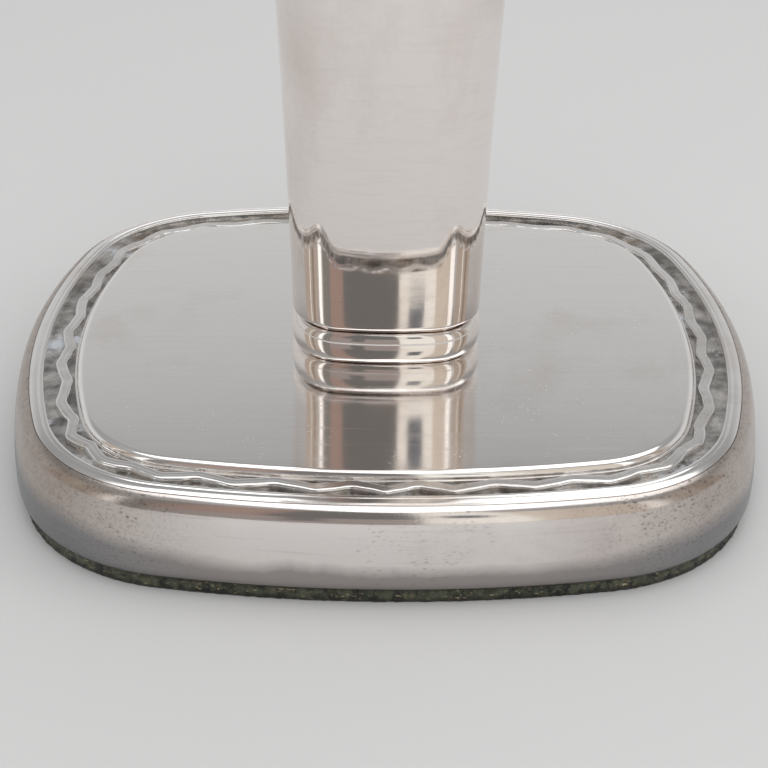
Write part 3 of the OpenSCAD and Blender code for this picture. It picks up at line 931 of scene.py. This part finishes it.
MOUTH = Section(*(value * stem_growth(STEM_TOP) for value in STEM))
MOUTH_RIM_IN = 0.4 * MM
MOUTH_RIM_R = 0.8 * MM
SLEEVE_GAP = 0.25 * MM
SLEEVE_WALL = 0.8 * MM


def make_mouth_rim():
    rim_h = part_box("mouth_rim")[1].z - STEM_TOP
    profile = [(-SHEET, STEM_TOP)]
    for angle in range(-90, 91, 15):
        t = math.radians(angle)
        height = STEM_TOP + rim_h / 2 * (1 + math.sin(t))
        profile.append((MOUTH_RIM_IN + MOUTH_RIM_R * math.cos(t), height))
    profile.append((-SHEET, STEM_TOP + rim_h))
    rim = swept("mouth_rim_wire", MOUTH, STEM_STEPS, profile)
    place(rim, "stand", "rim_silver", rim_silver, "mouth_rim")


def make_socket_sleeve():
    low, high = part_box("socket_sleeve")
    sleeve = swept("socket_sleeve_tube", SPIGOT, STEM_STEPS, [
        (SLEEVE_GAP + SLEEVE_WALL, low.z), (SLEEVE_GAP + SLEEVE_WALL, high.z),
        (SLEEVE_GAP + 0.1 * MM, high.z), (SLEEVE_GAP, high.z - 0.1 * MM), (SLEEVE_GAP, low.z),
    ])
    place(sleeve, "stand", "inner_silver", inner_silver, "socket_sleeve")


# ---------------------------------------------------------------- nozzle

PAN_FLOOR = PAN_BOTTOM + SHEET
PAN_RIM_R = 0.75 * MM
CUP_WALL = 0.9 * MM
CUP_FLOOR = 1.0 * MM
CUP_ROLL_R = 0.9 * MM
FOOT_RING = 2.2 * MM
FOOT_FILLET_R = 1.8 * MM

# the dish in millimetres: inwards from the pan's outline, and up from its underside
DISH_UNDER = [(8.5, 0.0), (7.0, 0.05), (5.5, 0.18), (4.2, 0.42), (3.0, 0.78), (2.0, 1.2), (1.1, 1.75),
              (0.4, 2.35), (0.0, 3.0)]
DISH_UPPER = [(0.9, 3.0), (1.25, 2.6), (1.9, 2.05), (2.7, 1.62), (3.7, 1.3), (4.8, 1.08), (5.9, 0.96),
              (7.1, 0.91), (8.5, 0.9)]


def make_spigot():
    low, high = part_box("nozzle_spigot")
    spigot = swept("nozzle_spigot_tube", SPIGOT, STEM_STEPS, [
        (-1.0 * MM, low.z), (-0.6 * MM, low.z), (-0.2 * MM, low.z + 0.3 * MM), (0.0, low.z + 1.0 * MM),
        (0.0, high.z), (-1.0 * MM, high.z),
    ])
    place(spigot, "nozzle", "inner_silver", inner_silver, "nozzle_spigot")


def make_drip_pan():
    profile = [(-off * MM, PAN_BOTTOM + up * MM) for off, up in DISH_UNDER + DISH_UPPER]
    pan = swept("drip_pan_dish", PAN, BASE_STEPS, profile, closed=False)
    cap(pan, PAN_BOTTOM)
    cap(pan, PAN_FLOOR)
    dents(pan, 15 * MM, 0.04 * MM, depth=1)
    place(pan, "nozzle", "nozzle_silver", nozzle_silver, "drip_pan")

    bead = arc(-SHEET / 2, PAN_EDGE + 0.65 * MM, PAN_RIM_R, -60, 240, 14)
    rim = swept("pan_rim_wire", PAN, BASE_STEPS, bead)
    place(rim, "nozzle", "rim_silver", rim_silver, "pan_rim")


def make_candle_cup():
    ring_r, ring_h = CUP_R + FOOT_RING, PAN_FLOOR + FOOT_RING
    fillet = arc(ring_r, ring_h, FOOT_FILLET_R, 180, 270, 10)
    foot = turned("cup_foot_ring", [(CUP_R, PAN_FLOOR), (CUP_R, ring_h)] + fillet
                  + [(ring_r, PAN_FLOOR + 0.25 * MM), (ring_r - 0.1 * MM, PAN_FLOOR)])
    place(foot, "nozzle", "nozzle_silver", nozzle_silver, "cup_foot")

    bore = CUP_R - CUP_WALL
    floor = PAN_FLOOR + CUP_FLOOR
    cup = turned("candle_cup_tube", [
        (0.0, PAN_FLOOR), (CUP_R - 0.2 * MM, PAN_FLOOR), (CUP_R, PAN_FLOOR + 0.2 * MM),
        (CUP_R, CUP_TOP - 0.1 * MM), (CUP_R - 0.1 * MM, CUP_TOP), (bore + 0.25 * MM, CUP_TOP),
        (bore + 0.07 * MM, CUP_TOP - 0.07 * MM), (bore, CUP_TOP - 0.25 * MM), (bore, floor + 0.4 * MM),
        (bore - 0.12 * MM, floor + 0.12 * MM), (bore - 0.4 * MM, floor), (0.0, floor),
    ], closed=False)
    place(cup, "nozzle", "nozzle_silver", nozzle_silver, "candle_cup")

    lip = turned("cup_rim_roll", arc(CUP_R, CUP_TOP - CUP_ROLL_R, CUP_ROLL_R, -90, 90, 14))
    place(lip, "nozzle", "rim_silver", rim_silver, "cup_rim")


# ---------------------------------------------------------------- inside pieces that stay as CAD nodes

INNER_FINISHES = {
    "closing_plate": tinplate, "base_filling": filling_pitch, "stem_filling": filling_pitch,
    "tie_rod": core_steel, "base_nut": core_steel, "base_washer": core_steel, "top_washer": core_steel,
    "top_nut": core_steel, "stem_foot_plate": inner_silver, "mouth_plate": inner_silver,
}


def finish_inner_nodes():
    for name, material in INNER_FINISHES.items():
        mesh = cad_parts[name].data
        mesh.materials.clear()
        mesh.materials.append(material)


# ---------------------------------------------------------------- studio

FLOOR_SIZE = 6.0
FLOOR_COLOUR = (0.74, 0.74, 0.74)

# brightness of the room from straight down (0) over the horizon (0.5) to straight up (1)
ROOM = ((0.0, 0.66), (0.40, 0.60), (0.455, 0.54), (0.505, 0.465), (0.55, 0.36), (0.62, 0.31), (1.0, 0.45))

DARK, MID, BROWN = (0.17, 0.165, 0.16), (0.34, 0.30, 0.285), (0.36, 0.265, 0.23)
DUSK, SLATE, UMBER = (0.24, 0.225, 0.21), (0.16, 0.17, 0.19), (0.30, 0.25, 0.21)
BEIGE, SAND = (0.66, 0.59, 0.51), (0.46, 0.40, 0.345)
CREAM, WHITE = (0.93, 0.90, 0.84), (1.0, 0.98, 0.95)

# cards that only the silver mirrors: name, azimuths, elevations (degrees), distance, colour, strength
CARDS = (
    ("dark_card", (-15, 4.8), (26, 64), 0.55, DARK, 1.0),
    ("mid_card", (-30, 4.8), (1, 26), 0.55, MID, 1.0),
    ("low_card", (-12, -7), (10, 26), 0.54, DARK, 1.0),
    ("brown_card", (-30, -15), (26, 64), 0.56, BROWN, 1.0),
    ("grey_card", (-46, -30), (1, 64), 0.57, DUSK, 1.0),
    ("cream_card", (4.8, 18.3), (1, 64), 0.56, CREAM, 1.0),
    ("notch_card", (8.4, 14), (30.2, 44), 0.55, SLATE, 1.0),
    ("beige_card", (18.3, 43), (1, 55), 0.58, BEIGE, 1.0),
    ("left_strip", (-56, -49), (5, 58), 0.59, WHITE, 1.3),
    ("right_strip", (44, 54), (5, 58), 0.59, WHITE, 1.2),
)
SIDE_CARDS = (
    ("side_card", (-17, 17), (1, 42), 0.62, SAND, 1.0),
    ("side_line", (-3, -1), (1, 42), 0.60, CREAM, 1.0),
    ("side_shade", (4, 9), (1, 42), 0.60, UMBER, 1.0),
)
SIDE_TURNS = {"left": -76, "right": 76}


def plain(name, colour):
    material = bpy.data.materials.new(name)
    material.use_nodes = True
    shader = material.node_tree.nodes["Principled BSDF"]
    shader.inputs["Base Color"].default_value = (*colour, 1.0)
    shader.inputs["Roughness"].default_value = 0.9
    shader.inputs["Specular IOR Level"].default_value = 0.1
    return material


def glow(name, colour, strength):
    material = bpy.data.materials.new(name)
    material.use_nodes = True
    tree = material.node_tree
    tree.nodes.clear()
    emission = tree.nodes.new("ShaderNodeEmission")
    emission.inputs["Color"].default_value = (*colour, 1.0)
    emission.inputs["Strength"].default_value = strength
    output = tree.nodes.new("ShaderNodeOutputMaterial")
    tree.links.new(emission.outputs[0], output.inputs["Surface"])
    return material


def make_floor():
    deselect()
    bpy.ops.mesh.primitive_plane_add(size=FLOOR_SIZE, location=(0, 0, 0))
    floor = bpy.context.object
    floor.name = "floor"
    floor.data.materials.append(plain("floor_paper", FLOOR_COLOUR))


def make_card(name, azimuths, elevations, distance, colour, strength, turn=0.0):
    """An upright card, seen in reflections only. Azimuth 0 is in front, and +X is 90."""
    left, right = (math.radians(a) for a in azimuths)
    low, high = (math.radians(e) for e in elevations)
    corners = []
    for a, e in ((left, low), (right, low), (right, high), (left, high)):
        spot = Vector((distance * math.tan(a), -distance, distance * math.tan(e)))
        corners.append(Matrix.Rotation(math.radians(turn), 3, "Z") @ spot)
    mesh = bpy.data.meshes.new(name)
    mesh.from_pydata(corners, [], [(0, 1, 2, 3)])
    card = bpy.data.objects.new(name, mesh)
    bpy.context.scene.collection.objects.link(card)
    mesh.materials.append(glow(name + "_face", colour, strength))
    card.visible_camera = False
    card.visible_diffuse = False
    card.visible_shadow = False


def make_light(name, location, target, size, energy, seen=True):
    """A softbox turned to its target. Not seen means that the silver doesn't mirror it."""
    data = bpy.data.lights.new(name, "AREA")
    data.shape = "RECTANGLE"
    data.size, data.size_y = size
    data.energy = energy
    light = bpy.data.objects.new(name, data)
    light.visible_glossy = seen
    light.location = location
    light.rotation_mode = "QUATERNION"
    light.rotation_quaternion = (Vector(target) - Vector(location)).to_track_quat("-Z", "Y")
    bpy.context.scene.collection.objects.link(light)


def make_world():
    world = bpy.data.worlds.new("studio")
    bpy.context.scene.world = world
    world.use_nodes = True
    tree = world.node_tree
    coords = tree.nodes.new("ShaderNodeTexCoord")
    split = tree.nodes.new("ShaderNodeSeparateXYZ")
    ramp = tree.nodes.new("ShaderNodeValToRGB")
    tree.links.new(coords.outputs["Generated"], split.inputs[0])
    tree.links.new(split.outputs["Z"], ramp.inputs["Fac"])
    tree.links.new(ramp.outputs["Color"], tree.nodes["Background"].inputs["Color"])
    tree.nodes["Background"].inputs["Strength"].default_value = 1.0
    ramp.color_ramp.elements[0].position = ROOM[0][0]
    ramp.color_ramp.elements[1].position = ROOM[-1][0]
    for position, _ in ROOM[1:-1]:
        ramp.color_ramp.elements.new(position)
    for element, (_, level) in zip(ramp.color_ramp.elements, ROOM):
        element.color = (level, level * 0.995, level * 0.99, 1.0)


def make_studio():
    make_floor()
    make_world()
    make_light("top_softbox", (0.1, 0.14, 0.75), (0, 0.06, 0), (0.8, 0.9), 2.75)
    make_light("left_softbox", (-0.9, -0.1, 0.45), (0, 0, 0.08), (0.5, 0.6), 0.35, seen=False)
    make_light("right_softbox", (0.9, -0.1, 0.45), (0, 0, 0.08), (0.5, 0.6), 0.6, seen=False)
    make_light("front_fill", (0.0, -0.5, 0.32), (0, -0.16, 0), (0.7, 0.25), 0.8, seen=False)
    for card in CARDS:
        make_card(*card)
    for side, turn in SIDE_TURNS.items():
        for name, *card in SIDE_CARDS:
            make_card(side + "_" + name, *card, turn)


# ---------------------------------------------------------------- build

make_base_wall()
make_base_rim()
make_border_channel()
make_wave_ribbon()
make_plateau()
make_felt()
make_felt_fibres()
make_collar()
make_stem()
make_mouth_rim()
make_socket_sleeve()
make_spigot()
make_drip_pan()
make_candle_cup()
finish_inner_nodes()
make_studio()
